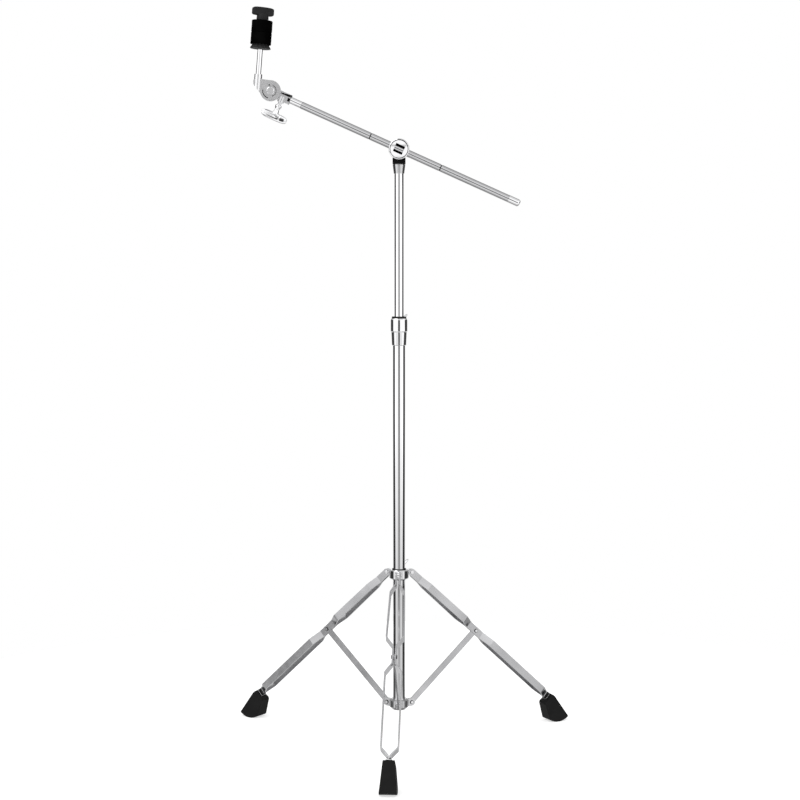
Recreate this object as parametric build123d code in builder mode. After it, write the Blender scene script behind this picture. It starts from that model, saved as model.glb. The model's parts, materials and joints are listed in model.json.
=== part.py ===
"""Cymbal boom stand: double-braced tripod, sliding mast, tilting boom and cymbal tilter.

Millimetres, +Z up. The origin is on the floor, on the mast's centreline.
The boom lies in the XZ plane's direction, its cymbal end towards -X.
"""
from build123d import *
import os
from math import atan2, cos, degrees, hypot, radians, sin

os.makedirs("parts", exist_ok=True)

# ---- driving dimensions -------------------------------------------------
RUN = 0.1                      # radial clearance of a turning or sliding fit
GAP = 0.3                      # side clearance between pieces that move past each other

# mast tubes
BASE_TUBE_R = 12.7
UPPER_TUBE_R = 9.525
TUBE_WALL = 1.5
BASE_TUBE_BOTTOM = 74.0
BASE_TUBE_TOP = 881.0
UPPER_TUBE_BOTTOM = 640.0
UPPER_TUBE_TOP = 1215.5
GUIDE_HEIGHT = 20.0

# tripod: legs hang from the collar at A, braces hinge on the bracket at B,
# and both meet at C. AC equals BC, so the collar moves straight up the tube.
LEG_AZIMUTHS = {"front": -93.0, "right": 27.0, "left": 147.0}
PIVOT_R = 28.5
COLLAR_Z = 361.0
BRACKET_Z = 81.0
KNEE_R = 184.9
STRIP_WIDTH = 15.0
STRIP_THICK = 3.0
BRACE_WIDTH = 13.0
BRACE_THICK = 2.6
RIVET_R = 3.0
RIVET_HEAD_R = 4.4
RIVET_HEAD_T = 1.7
RIVET_HEAD_TAPER = 25          # degrees
EAR_THICK = 4.0
CLEVIS_PLATE = 2.5

# where a leg's strips bend, from A along the leg, and half the distance between them there
GRIP_COLLAR_END = 28.0
UPPER_BULGE = (49.0, 164.0)
UPPER_SPREAD = (14.5, 18.0)
GRIP_KNEE = (186.0, 229.0)
LOWER_BULGE = (251.0, 427.0)
LOWER_SPREAD = 17.0
GRIP_FOOT_START = 446.0
STRIP_END = 468.0

# rubber foot: its neck takes the strips' ends and its wedge stands on a curved sole
NECK_START = 449.5             # from A along the leg
WEDGE_START = 457.0
FOOT_PIN = 460.0
FOOT_PIN_R = 2.5
FOOT_PIN_HALF = 8.0
NECK_HALF_W = 3.8
NECK_HALF = 7.8
WEDGE_TOP_HALF = 8.2
SOLE_R = 388.5                 # radius from the mast of the sole's lowest line
SOLE_ARC_R = 40.0
SOLE_SINK = 0.3                # turns the arc's lowest line into a small flat land
SOLE_INNER = 20.5
SOLE_OUTER = 26.5
FOOT_TOP_HALF_W = 11.5
FOOT_SOLE_HALF_W = 18.1
FOOT_HEIGHT = 66.0
FOOT_CREST = (382.0, 57.5)     # radius and height
FOOT_HEEL = [(362.3, 23.0), (356.8, 41.0), (358.0, 46.0)]

# height clamp
CLAMP_R = 17.4
CLAMP_BOTTOM = 871.0
CLAMP_TOP = 899.5
CLAMP_TOP_R = 15.9
CLAMP_SLEEVE_BOTTOM = 843.0
CLAMP_SLEEVE_R = (14.9, 16.1)  # at its bottom and at its top
CLAMP_BOLT_Z = 889.0
BUSHING_RIM_R = (15.4, 15.0)
BUSHING_TOP = 903.7

# boom tilter
BOOM_Z = 1250.0
BOOM_Y = -25.0
BOOM_SLOPE = 24.15             # degrees, rising towards -X
DRUM_R = 21.5
DRUM_FRONT = -37.0
DRUM_BACK = -13.2
EAR_FRONT = -11.5
EAR_BACK = -1.5
SOCKET_BOTTOM = 1201.0
SOCKET_TOP = 1224.4
SOCKET_R = 10.8
SOCKET_SHOULDER_R = 13.3
SOCKET_DOME = 4.9
BOLT_R = 4.0

# boom, measured along it from the tilter, positive towards the cymbal
BOOM_R = 7.5
BOOM_HEAD_END = 220.5
BOOM_TAIL_END = -249.0
CAP_END = -274.0
FERRULE_R = 7.2
FERRULE_END = 245.5
TILT_AXIS = 290.0
GROOVES = (65.0, -94.0)

# cymbal tilter
ARM_FRONT = -38.0
ARM_BACK = -31.0
ARM_DISC_R = 21.4
HOUSING_R = 19.0
HOUSING_BACK = -14.5
ROD_OFFSET = 27.5
ROD_LEAN = 4.6                 # degrees from upright, towards +X
ROD_Y = -31.5
CLAMP_BOLT_BACK = 27.0         # from the tilt axis back along the boom

# cymbal rod, measured along it from the tilt axis
SOCKET_LENGTH = 34.0
SHANK_R = 5.4
SHOULDER = 88.0
THREAD_R = 4.0
THREAD_END = 163.5
SEAT_BOTTOM = 86.0
SEAT_TOP = 94.6
FELT_R = 21.5
FELT_HEIGHT = 24.2
SLEEVE_R = 6.0
SLEEVE_END = 140.0
NUT_WING = 153.4
NUT_TOP = 170.6


def save(part, label):
    """Label a finished piece and write it as its own STEP file."""
    part.label = label
    export_step(part, f"parts/{label}.step")


# ---- planes ---------------------------------------------------------------
def outward(azimuth):
    """Unit vector from the mast towards an azimuth."""
    return Vector(cos(radians(azimuth)), sin(radians(azimuth)), 0)


def across(azimuth):
    """Unit vector square to a leg's plane."""
    return Vector(-sin(radians(azimuth)), cos(radians(azimuth)), 0)


def side_plane(azimuth):
    """Plane of a leg: x is the radius and y is the height."""
    return Plane(origin=(0, 0, 0), x_dir=outward(azimuth), z_dir=-across(azimuth))


def radial_plane(azimuth, height):
    """Plane square to a radial bolt: z points outward, y points up."""
    return Plane(origin=(0, 0, height), x_dir=across(azimuth), z_dir=outward(azimuth))


def cross_plane(azimuth, radius, height):
    """Plane at a rivet in a leg: z runs along the rivet."""
    centre = outward(azimuth) * radius + Vector(0, 0, height)
    return Plane(origin=centre, x_dir=outward(azimuth), z_dir=across(azimuth))


BOOM_DIR = Vector(-cos(radians(BOOM_SLOPE)), 0, sin(radians(BOOM_SLOPE)))
BOOM_UP = Vector(sin(radians(BOOM_SLOPE)), 0, cos(radians(BOOM_SLOPE)))
BOOM_PIVOT = Vector(0, BOOM_Y, BOOM_Z)


def boom_point(along, y=BOOM_Y):
    """Point on the boom's centreline, moved to a given y."""
    point = BOOM_PIVOT + BOOM_DIR * along
    return Vector(point.X, y, point.Z)


def boom_plane(along):
    """Plane square to the boom: z points to the cymbal end."""
    return Plane(origin=boom_point(along), x_dir=(0, 1, 0), z_dir=BOOM_DIR)


def facing_plane(along, y):
    """Plane parallel to the boom at depth y: x runs along the boom, z faces -Y."""
    return Plane(origin=boom_point(along, y), x_dir=-BOOM_DIR, z_dir=(0, -1, 0))


ROD_DIR = Vector(sin(radians(ROD_LEAN)), 0, cos(radians(ROD_LEAN)))
ROD_BASE = boom_point(TILT_AXIS, ROD_Y) + Vector(-ROD_OFFSET, 0, 0)


def rod_plane(along):
    """Plane square to the cymbal rod: z points to its threaded end."""
    return Plane(origin=ROD_BASE + ROD_DIR * along, x_dir=(0, 1, 0), z_dir=ROD_DIR)


# ---- shared shapes ----------------------------------------------------------
def tube(plane, length, outer, inner):
    """Straight tube that stands on a plane."""
    with BuildPart() as piece:
        with BuildSketch(plane):
            Circle(outer)
            Circle(inner, mode=Mode.SUBTRACT)
        extrude(amount=length)
    return piece.part


def rivet(plane, half_grip):
    """Rivet through a plane, with a domed head on each side."""
    with BuildPart() as piece:
        with BuildSketch(plane):
            Circle(RIVET_R)
        extrude(amount=half_grip, both=True)
        for side in (1, -1):
            with BuildSketch(plane.offset(side * half_grip)):
                Circle(RIVET_HEAD_R)
            extrude(amount=side * RIVET_HEAD_T, taper=RIVET_HEAD_TAPER)
    return piece.part


WING_ROUND = 0.4               # corner radius of a wing, as a part of its height


def pin(plane, radius, half_length):
    """Plain pin, centred on a plane."""
    with BuildPart() as piece:
        with BuildSketch(plane):
            Circle(radius)
        extrude(amount=half_length, both=True)
    return piece.part


def lathe(centre, along, points):
    """Revolve a closed outline of (radius, distance) points about a line."""
    along = Vector(*along)
    sideways = Vector(1, 0, 0) if abs(along.Y) > 0.5 else Vector(0, 1, 0)
    with BuildPart() as piece:
        with BuildSketch(Plane(origin=centre, x_dir=sideways, z_dir=sideways.cross(along))):
            with BuildLine():
                Polyline(*points, close=True)
            make_face()
        revolve(axis=Axis(tuple(centre), tuple(along)))
    return piece.part


def wing(plane, hub, wings, thick, turn):
    """Hub (start, radius) and two wings (start, span, height) on a plane's axis, turned about it."""
    hub_start, hub_r = hub
    wing_start, span, height = wings
    span_dir = plane.x_dir * cos(radians(turn)) + plane.y_dir * sin(radians(turn))
    upright = Plane(origin=plane.origin, x_dir=span_dir, z_dir=span_dir.cross(plane.z_dir))
    with BuildPart() as piece:
        with BuildSketch(plane.offset(hub_start)):
            Circle(hub_r)
        extrude(amount=wing_start + height - hub_start)
        with BuildSketch(upright):
            with Locations((0, wing_start + height / 2)):
                RectangleRounded(span, height, height * WING_ROUND)
        extrude(amount=thick / 2, both=True)
    return piece.part


def wing_bolt(plane, tip, handle, hub_start):
    """Wing handle with a stud that reaches back along the plane's axis to its tip."""
    with BuildPart() as piece:
        add(handle)
        with BuildSketch(plane.offset(tip)):
            Circle(BOLT_R - RUN)
        extrude(amount=hub_start + 1 - tip)
    return piece.part


def wing_nut(plane, handle, start, depth):
    """Wing handle with a bore for the stud that it turns on."""
    with BuildPart() as piece:
        add(handle)
        with BuildSketch(plane.offset(start)):
            Circle(BOLT_R + RUN)
        extrude(amount=depth, mode=Mode.SUBTRACT)
    return piece.part


# ---- base tube and lower bracket ----------------------------------------------
base_tube = tube(
    Plane.XY.offset(BASE_TUBE_BOTTOM),
    BASE_TUBE_TOP - BASE_TUBE_BOTTOM,
    BASE_TUBE_R,
    BASE_TUBE_R - TUBE_WALL,
)
save(base_tube, "base_tube")

HUB_R = 20.0
HUB_BOTTOM = 69.0
HUB_TOP = 92.0
HUB_CUP = 6.0                  # slope at the hub's closed bottom
HUB_TOP_SLOPE = (4.0, 3.0)
CLEVIS_IN = BRACE_THICK / 2 + GAP
CLEVIS_END_R = 8.0
CLEVIS_BASE_R = 16.0

with BuildPart() as lower_bracket:
    with BuildSketch(Plane.XZ):
        with BuildLine():
            Polyline(
                (0, HUB_BOTTOM),
                (HUB_R - HUB_CUP, HUB_BOTTOM),
                (HUB_R, HUB_BOTTOM + HUB_CUP),
                (HUB_R, HUB_TOP - HUB_TOP_SLOPE[1]),
                (HUB_R - HUB_TOP_SLOPE[0], HUB_TOP),
                (0, HUB_TOP),
                close=True,
            )
        make_face()
    revolve(axis=Axis.Z)
    for azimuth in LEG_AZIMUTHS.values():
        for side in (1, -1):
            near = side * CLEVIS_IN
            with BuildSketch(side_plane(azimuth).offset(near)):
                with Locations((PIVOT_R, BRACKET_Z)):
                    Circle(CLEVIS_END_R)
                with Locations(((PIVOT_R + CLEVIS_BASE_R) / 2, BRACKET_Z)):
                    Rectangle(PIVOT_R - CLEVIS_BASE_R, 2 * CLEVIS_END_R)
            extrude(amount=side * CLEVIS_PLATE)
        with BuildSketch(cross_plane(azimuth, PIVOT_R, BRACKET_Z)):
            Circle(RIVET_R)
        extrude(amount=HUB_R, both=True, mode=Mode.SUBTRACT)
    with BuildSketch(Plane.XY.offset(BASE_TUBE_BOTTOM)):
        Circle(BASE_TUBE_R)
    extrude(amount=HUB_TOP - BASE_TUBE_BOTTOM, mode=Mode.SUBTRACT)
save(lower_bracket.part, "lower_bracket")

with BuildPart() as brace_rivets:
    for azimuth in LEG_AZIMUTHS.values():
        add(rivet(cross_plane(azimuth, PIVOT_R, BRACKET_Z), CLEVIS_IN + CLEVIS_PLATE))
save(brace_rivets.part, "brace_rivets")

# ---- height clamp -------------------------------------------------------------
BOSS_R = 8.0
CLAMP_BOSS_END = 27.0
BACK = 90.0                    # azimuth of the height clamp's bolt
SKIRT_BOTTOM = 855.0
SKIRT_R = BASE_TUBE_R - TUBE_WALL - RUN
SLEEVE_STEP = 1.0
CLAMP_FOOT = 2.0               # height of the slopes under and on the clamp's ring
CLAMP_CROWN = 3.0
NOTCH_Z = 883.0
NOTCH_SIZE = (2.0, 3.0)
NOTCH_DEPTH = 1.0
SPLIT_WIDTH = 0.8
SPLIT_FLOOR_R = BASE_TUBE_R + 2.2

with BuildPart() as height_clamp:
    with BuildSketch(Plane.XZ):
        with BuildLine():
            Polyline(
                (BASE_TUBE_R, CLAMP_SLEEVE_BOTTOM),
                (CLAMP_SLEEVE_R[0] - SLEEVE_STEP, CLAMP_SLEEVE_BOTTOM),
                (CLAMP_SLEEVE_R[0], CLAMP_SLEEVE_BOTTOM + SLEEVE_STEP),
                (CLAMP_SLEEVE_R[1], CLAMP_BOTTOM),
                (CLAMP_R, CLAMP_BOTTOM + CLAMP_FOOT),
                (CLAMP_R, CLAMP_TOP - CLAMP_CROWN),
                (CLAMP_TOP_R, CLAMP_TOP),
                (BASE_TUBE_R, CLAMP_TOP),
                close=True,
            )
        make_face()
    revolve(axis=Axis.Z)
    with BuildSketch(radial_plane(BACK, CLAMP_BOLT_Z).offset(BASE_TUBE_R + SLEEVE_STEP)):
        Circle(BOSS_R)
    extrude(amount=CLAMP_BOSS_END - BASE_TUBE_R - SLEEVE_STEP)
    with BuildSketch(radial_plane(BACK, CLAMP_BOLT_Z)):
        Circle(BOLT_R)
    extrude(amount=CLAMP_BOSS_END, mode=Mode.SUBTRACT)
    with BuildSketch(radial_plane(-BACK, 0).offset(SPLIT_FLOOR_R)):
        with Locations((0, (CLAMP_BOTTOM + CLAMP_TOP) / 2)):
            Rectangle(SPLIT_WIDTH, CLAMP_TOP - CLAMP_BOTTOM)
    extrude(amount=CLAMP_R - BASE_TUBE_R, mode=Mode.SUBTRACT)
    for azimuth in (0, 2 * BACK):
        with BuildSketch(radial_plane(azimuth, NOTCH_Z).offset(CLAMP_R - NOTCH_DEPTH)):
            Rectangle(*NOTCH_SIZE)
        extrude(amount=2 * NOTCH_DEPTH, mode=Mode.SUBTRACT)
save(height_clamp.part, "height_clamp")

with BuildPart() as height_bushing:
    with BuildSketch(Plane.XZ):
        with BuildLine():
            Polyline(
                (UPPER_TUBE_R + RUN, SKIRT_BOTTOM),
                (SKIRT_R, SKIRT_BOTTOM),
                (SKIRT_R, BASE_TUBE_TOP),
                (BASE_TUBE_R, BASE_TUBE_TOP),
                (BASE_TUBE_R, CLAMP_TOP),
                (BUSHING_RIM_R[0], CLAMP_TOP),
                (BUSHING_RIM_R[1], BUSHING_TOP),
                (UPPER_TUBE_R + RUN, BUSHING_TOP),
                close=True,
            )
        make_face()
    revolve(axis=Axis.Z)
    with BuildSketch(radial_plane(BACK, CLAMP_BOLT_Z)):
        Circle(BOLT_R)
    extrude(amount=CLAMP_BOSS_END, mode=Mode.SUBTRACT)
save(height_bushing.part, "height_bushing")

height_axis = radial_plane(BACK, CLAMP_BOLT_Z)
HEIGHT_HUB = (27.4, 7.0)
HEIGHT_WINGS = (33.0, 48.0, 12.0)
CAST_WING_THICK = 6.0
CAST_WING_TURN = -47.0         # degrees about the bolt
HEIGHT_BOLT_TIP = 9.9
height_handle = wing(height_axis, HEIGHT_HUB, HEIGHT_WINGS, CAST_WING_THICK, CAST_WING_TURN)
save(wing_bolt(height_axis, HEIGHT_BOLT_TIP, height_handle, HEIGHT_HUB[0]), "height_wing_bolt")

# ---- sliding leg collar ---------------------------------------------------------
COLLAR_R = 20.0
COLLAR_BORE_R = 14.5
COLLAR_BOTTOM = COLLAR_Z - 12.0
COLLAR_TOP = COLLAR_Z + 8.0
COLLAR_EDGE = 2.0
LINER_BOTTOM = COLLAR_BOTTOM - 1.5
LINER_TOP = COLLAR_TOP + 1.7
COLLAR_BOSS_END = 28.5
EAR_END_R = 7.5
COLLAR_BOLT_AZIMUTH = LEG_AZIMUTHS["front"] + 180
COLLAR_BOLT_Z = COLLAR_Z + 4.0

with BuildPart() as leg_collar:
    with BuildSketch(Plane.XZ):
        with BuildLine():
            Polyline(
                (0, COLLAR_BOTTOM),
                (COLLAR_R - COLLAR_EDGE, COLLAR_BOTTOM),
                (COLLAR_R, COLLAR_BOTTOM + COLLAR_EDGE),
                (COLLAR_R, COLLAR_TOP - COLLAR_EDGE),
                (COLLAR_R - COLLAR_EDGE, COLLAR_TOP),
                (0, COLLAR_TOP),
                close=True,
            )
        make_face()
    revolve(axis=Axis.Z)
    for azimuth in LEG_AZIMUTHS.values():
        with BuildSketch(side_plane(azimuth)):
            with Locations((PIVOT_R, COLLAR_Z)):
                Circle(EAR_END_R)
            with Locations(((PIVOT_R + CLEVIS_BASE_R) / 2, COLLAR_Z)):
                Rectangle(PIVOT_R - CLEVIS_BASE_R, 2 * EAR_END_R)
        extrude(amount=EAR_THICK / 2, both=True)
        with BuildSketch(cross_plane(azimuth, PIVOT_R, COLLAR_Z)):
            Circle(RIVET_R)
        extrude(amount=EAR_THICK, both=True, mode=Mode.SUBTRACT)
    with BuildSketch(radial_plane(COLLAR_BOLT_AZIMUTH, COLLAR_BOLT_Z).offset(COLLAR_BORE_R)):
        Circle(BOSS_R)
    extrude(amount=COLLAR_BOSS_END - COLLAR_BORE_R)
    with BuildSketch(Plane.XY.offset(COLLAR_BOTTOM)):
        Circle(COLLAR_BORE_R)
    extrude(amount=2 * (COLLAR_TOP - COLLAR_BOTTOM), mode=Mode.SUBTRACT)
    with BuildSketch(radial_plane(COLLAR_BOLT_AZIMUTH, COLLAR_BOLT_Z)):
        Circle(BOLT_R)
    extrude(amount=COLLAR_BOSS_END, mode=Mode.SUBTRACT)
save(leg_collar.part, "leg_collar")

with BuildPart() as leg_collar_bushing:
    with BuildSketch(Plane.XY.offset(LINER_BOTTOM)):
        Circle(COLLAR_BORE_R)
        Circle(BASE_TUBE_R + GAP, mode=Mode.SUBTRACT)
    extrude(amount=LINER_TOP - LINER_BOTTOM)
    with BuildSketch(radial_plane(COLLAR_BOLT_AZIMUTH, COLLAR_BOLT_Z)):
        Circle(BOLT_R)
    extrude(amount=COLLAR_BOSS_END, mode=Mode.SUBTRACT)
save(leg_collar_bushing.part, "leg_collar_bushing")

collar_axis = radial_plane(COLLAR_BOLT_AZIMUTH, COLLAR_BOLT_Z)
COLLAR_HUB = (29.0, 6.5)
COLLAR_WINGS = (38.0, 48.0, 11.0)
COLLAR_BOLT_TIP = 13.4
collar_handle = wing(collar_axis, COLLAR_HUB, COLLAR_WINGS, CAST_WING_THICK, CAST_WING_TURN)
save(wing_bolt(collar_axis, COLLAR_BOLT_TIP, collar_handle, COLLAR_HUB[0]), "leg_collar_wing_bolt")

with BuildPart() as collar_rivets:
    for azimuth in LEG_AZIMUTHS.values():
        add(rivet(cross_plane(azimuth, PIVOT_R, COLLAR_Z), EAR_THICK / 2 + GAP + STRIP_THICK + GAP))
save(collar_rivets.part, "collar_rivets")

# ---- legs and braces --------------------------------------------------------------
KNEE_Z = (COLLAR_Z + BRACKET_Z) / 2
LINK = hypot(KNEE_R - PIVOT_R, COLLAR_Z - KNEE_Z)
LEG_ANGLE = atan2(KNEE_R - PIVOT_R, COLLAR_Z - KNEE_Z)   # from upright
AT_COLLAR = (EAR_THICK + STRIP_THICK) / 2 + GAP
AT_KNEE = (BRACE_THICK + STRIP_THICK) / 2 + GAP
AT_FOOT = (STRIP_THICK + RUN) / 2
BEND_R = 8.0
END_R = STRIP_WIDTH / 2


def leg_plane(azimuth):
    """Plane through A seen from above a leg: x runs down the leg, y across it."""
    down = outward(azimuth) * sin(LEG_ANGLE) + Vector(0, 0, -cos(LEG_ANGLE))
    start = outward(azimuth) * PIVOT_R + Vector(0, 0, COLLAR_Z)
    return Plane(origin=start, x_dir=down, z_dir=down.cross(across(azimuth)))


def on_leg(along, inward):
    """Radius and height of a point along a leg and inwards from its centreline."""
    radius = PIVOT_R + along * sin(LEG_ANGLE) - inward * cos(LEG_ANGLE)
    return radius, COLLAR_Z - along * cos(LEG_ANGLE) - inward * sin(LEG_ANGLE)


def leg_strip(azimuth, side):
    """One flat strip of a leg, bent outwards between its three rivets."""
    bends = [
        (-END_R, AT_COLLAR),
        (GRIP_COLLAR_END, AT_COLLAR),
        *zip(UPPER_BULGE, UPPER_SPREAD),
        *((along, AT_KNEE) for along in GRIP_KNEE),
        *((along, LOWER_SPREAD) for along in LOWER_BULGE),
        (GRIP_FOOT_START, AT_FOOT),
        (STRIP_END, AT_FOOT),
    ]
    route = [(along, side * offset_y) for along, offset_y in bends]
    with BuildPart() as strip:
        with BuildSketch(leg_plane(azimuth)):
            with BuildLine():
                FilletPolyline(*route, radius=BEND_R)
                offset(amount=STRIP_THICK / 2, side=Side.BOTH)
            make_face()
        extrude(amount=STRIP_WIDTH / 2, both=True)
        with BuildSketch(Plane(leg_plane(azimuth).origin, leg_plane(azimuth).x_dir, across(azimuth))):
            Circle(END_R)
            with Locations((STRIP_END / 2, 0)):
                Rectangle(STRIP_END, STRIP_WIDTH)
        extrude(amount=HUB_R + STRIP_THICK, both=True, mode=Mode.INTERSECT)
        for along, hole_r in ((0, RIVET_R + RUN), (LINK, RIVET_R), (FOOT_PIN, FOOT_PIN_R)):
            with BuildSketch(cross_plane(azimuth, *on_leg(along, 0))):
                Circle(hole_r)
            extrude(amount=HUB_R, both=True, mode=Mode.SUBTRACT)
    return strip.part


def brace(azimuth):
    """Flat strip with round ends from the bracket to the knee."""
    middle = ((PIVOT_R + KNEE_R) / 2, (BRACKET_Z + KNEE_Z) / 2)
    with BuildPart() as strip:
        with BuildSketch(side_plane(azimuth)):
            with Locations(Location((*middle, 0), (0, 0, 90 - degrees(LEG_ANGLE)))):
                SlotCenterToCenter(LINK, BRACE_WIDTH)
            with Locations((PIVOT_R, BRACKET_Z), (KNEE_R, KNEE_Z)):
                Circle(RIVET_R + RUN, mode=Mode.SUBTRACT)
        extrude(amount=BRACE_THICK / 2, both=True)
    return strip.part


SOLE_CENTRE_Z = SOLE_ARC_R - SOLE_SINK
LAND_HALF = (SOLE_ARC_R**2 - SOLE_CENTRE_Z**2) ** 0.5
LIP_THICK = 1.7
LIP_END = WEDGE_START - GAP
LIP_START = LIP_END - LIP_THICK
LIP_REACH = (2.8, 0.7)         # how far it stands out past the neck, across the leg and in its plane


def sole(x):
    """Point of the sole at a distance x outwards from its middle."""
    return SOLE_R + x, SOLE_CENTRE_Z - (SOLE_ARC_R**2 - x**2) ** 0.5


def foot(azimuth):
    """Rubber foot: a flared wedge with a curved sole, and a neck slotted for the strips."""
    front = Plane(origin=outward(azimuth) * SOLE_R, x_dir=across(azimuth), z_dir=outward(azimuth))
    inner_middle = (LAND_HALF + SOLE_INNER) / 2
    outer_middle = (LAND_HALF + SOLE_OUTER) / 2
    with BuildPart() as rubber:
        with BuildSketch(side_plane(azimuth)):
            with BuildLine():
                Polyline(on_leg(WEDGE_START, WEDGE_TOP_HALF), *reversed(FOOT_HEEL), sole(-SOLE_INNER))
                ThreePointArc(sole(-SOLE_INNER), sole(-inner_middle), (SOLE_R - LAND_HALF, 0))
                Line((SOLE_R - LAND_HALF, 0), (SOLE_R + LAND_HALF, 0))
                ThreePointArc((SOLE_R + LAND_HALF, 0), sole(outer_middle), sole(SOLE_OUTER))
                Polyline(sole(SOLE_OUTER), FOOT_CREST, on_leg(WEDGE_START, -WEDGE_TOP_HALF))
                Line(on_leg(WEDGE_START, -WEDGE_TOP_HALF), on_leg(WEDGE_START, WEDGE_TOP_HALF))
            make_face()
        extrude(amount=FOOT_SOLE_HALF_W, both=True)
        with BuildSketch(front):
            with BuildLine():
                Polyline(
                    (-FOOT_SOLE_HALF_W, 0),
                    (FOOT_SOLE_HALF_W, 0),
                    (FOOT_TOP_HALF_W, FOOT_HEIGHT),
                    (-FOOT_TOP_HALF_W, FOOT_HEIGHT),
                    close=True,
                )
            make_face()
        extrude(amount=2 * SOLE_OUTER, both=True, mode=Mode.INTERSECT)
        with BuildSketch(leg_plane(azimuth)):
            with Locations(((NECK_START + WEDGE_START + RUN) / 2, 0)):
                Rectangle(WEDGE_START + RUN - NECK_START, 2 * NECK_HALF_W)
        extrude(amount=NECK_HALF, both=True)
        with BuildSketch(leg_plane(azimuth)):
            with Locations(((NECK_START + STRIP_END - RUN) / 2, 0)):
                Rectangle(STRIP_END + RUN - NECK_START, 2 * AT_FOOT + STRIP_THICK)
        extrude(amount=STRIP_WIDTH / 2, both=True, mode=Mode.SUBTRACT)
        with BuildSketch(cross_plane(azimuth, *on_leg(FOOT_PIN, 0))):
            Circle(FOOT_PIN_R)
        extrude(amount=FOOT_PIN_HALF, both=True, mode=Mode.SUBTRACT)
    return rubber.part


def foot_lip(azimuth):
    """Thin steel plate round the rubber's neck, against the wedge."""
    with BuildPart() as lip:
        with BuildSketch(leg_plane(azimuth)):
            with Locations(((LIP_START + LIP_END) / 2, 0)):
                Rectangle(LIP_THICK, 2 * (NECK_HALF_W + LIP_REACH[0]))
        extrude(amount=NECK_HALF + LIP_REACH[1], both=True)
        with BuildSketch(leg_plane(azimuth)):
            with Locations(((LIP_START + LIP_END) / 2, 0)):
                Rectangle(2 * LIP_THICK, 2 * NECK_HALF_W)
        extrude(amount=NECK_HALF, both=True, mode=Mode.SUBTRACT)
    return lip.part


for name, azimuth in LEG_AZIMUTHS.items():
    save(leg_strip(azimuth, 1), f"{name}_leg_strip_a")
    save(leg_strip(azimuth, -1), f"{name}_leg_strip_b")
    save(brace(azimuth), f"{name}_brace")
    save(rivet(cross_plane(azimuth, KNEE_R, KNEE_Z), AT_KNEE + STRIP_THICK / 2), f"{name}_knee_rivet")
    foot_pin = pin(cross_plane(azimuth, *on_leg(FOOT_PIN, 0)), FOOT_PIN_R, FOOT_PIN_HALF)
    save(foot_pin, f"{name}_foot_pin")
    save(foot(azimuth), f"{name}_foot")
    save(foot_lip(azimuth), f"{name}_foot_lip")

# ---- sliding upper tube -------------------------------------------------------------
upper_tube = tube(
    Plane.XY.offset(UPPER_TUBE_BOTTOM),
    UPPER_TUBE_TOP - UPPER_TUBE_BOTTOM,
    UPPER_TUBE_R,
    UPPER_TUBE_R - TUBE_WALL,
)
save(upper_tube, "upper_tube")
save(tube(Plane.XY.offset(UPPER_TUBE_BOTTOM), GUIDE_HEIGHT, SKIRT_R, UPPER_TUBE_R), "upper_tube_guide")

# ---- boom tilter ----------------------------------------------------------------------
MAST_FIT = 0.06
NECK_W = 27.0
NECK_BACK = 9.0
NECK_BOTTOM = 1221.0
NECK_TOP = 1233.0
EAR_R = 17.0
EAR_ROOT = 1229.0
TUBE_STOP = UPPER_TUBE_TOP + 0.5
DOME_R = (SOCKET_SHOULDER_R**2 + SOCKET_DOME**2) / (2 * SOCKET_DOME)


def dome(radius):
    """Point of the socket's domed top at a radius from the mast."""
    return radius, SOCKET_TOP - DOME_R + (DOME_R**2 - radius**2) ** 0.5


with BuildPart() as tilter_base:
    with BuildSketch(Plane.XZ):
        with BuildLine():
            Polyline((0, SOCKET_BOTTOM), (SOCKET_R, SOCKET_BOTTOM), dome(SOCKET_SHOULDER_R))
            ThreePointArc(dome(SOCKET_SHOULDER_R), dome(SOCKET_SHOULDER_R / 2), (0, SOCKET_TOP))
            Line((0, SOCKET_TOP), (0, SOCKET_BOTTOM))
        make_face()
    revolve(axis=Axis.Z)
    with BuildSketch(Plane.XZ.offset(-NECK_BACK)):
        with Locations((0, (NECK_BOTTOM + NECK_TOP) / 2)):
            Rectangle(NECK_W, NECK_TOP - NECK_BOTTOM)
    extrude(amount=NECK_BACK - EAR_FRONT)
    with BuildSketch(Plane.XZ.offset(-EAR_BACK)):
        with Locations((0, BOOM_Z)):
            Circle(EAR_R)
        with Locations((0, (EAR_ROOT + BOOM_Z) / 2)):
            Rectangle(NECK_W, BOOM_Z - EAR_ROOT)
    extrude(amount=EAR_BACK - EAR_FRONT)
    with BuildSketch(Plane.XY.offset(SOCKET_BOTTOM)):
        Circle(UPPER_TUBE_R + MAST_FIT)
    extrude(amount=TUBE_STOP - SOCKET_BOTTOM, mode=Mode.SUBTRACT)
    with BuildSketch(Plane.XZ):
        with Locations((0, BOOM_Z)):
            Circle(BOLT_R + RUN)
    extrude(amount=DRUM_R, both=True, mode=Mode.SUBTRACT)
save(tilter_base.part, "tilter_base")

WINDOW = (20.0, 18.0)          # along the boom and across it
HEAD_R = 8.0
HEAD_FRONT = -17.3
HEAD_BACK = -14.6
DISH_R = DRUM_R - 3.3
DISH_DEPTH = 3.4
RIM = [(0, 2.2), (0.6, 0.8), (1.9, 0), (3.3, 0)]     # in from the drum's side, back from its front
DISH_STEPS = 12
BACK_EDGE = 1.0
WASHER_BACK = EAR_FRONT
WASHER_FRONT = DRUM_BACK + GAP

DRUM_CENTRE = Vector(0, 0, BOOM_Z)


def dish(steps):
    """Points of the drum's hollow face, from its rim to its middle."""
    sphere = (DISH_R**2 + DISH_DEPTH**2) / (2 * DISH_DEPTH)
    radii = [DISH_R * (1 - step / steps) for step in range(1, steps + 1)]
    return [(r, DRUM_FRONT + DISH_DEPTH - sphere + (sphere**2 - r**2) ** 0.5) for r in radii]


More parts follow.
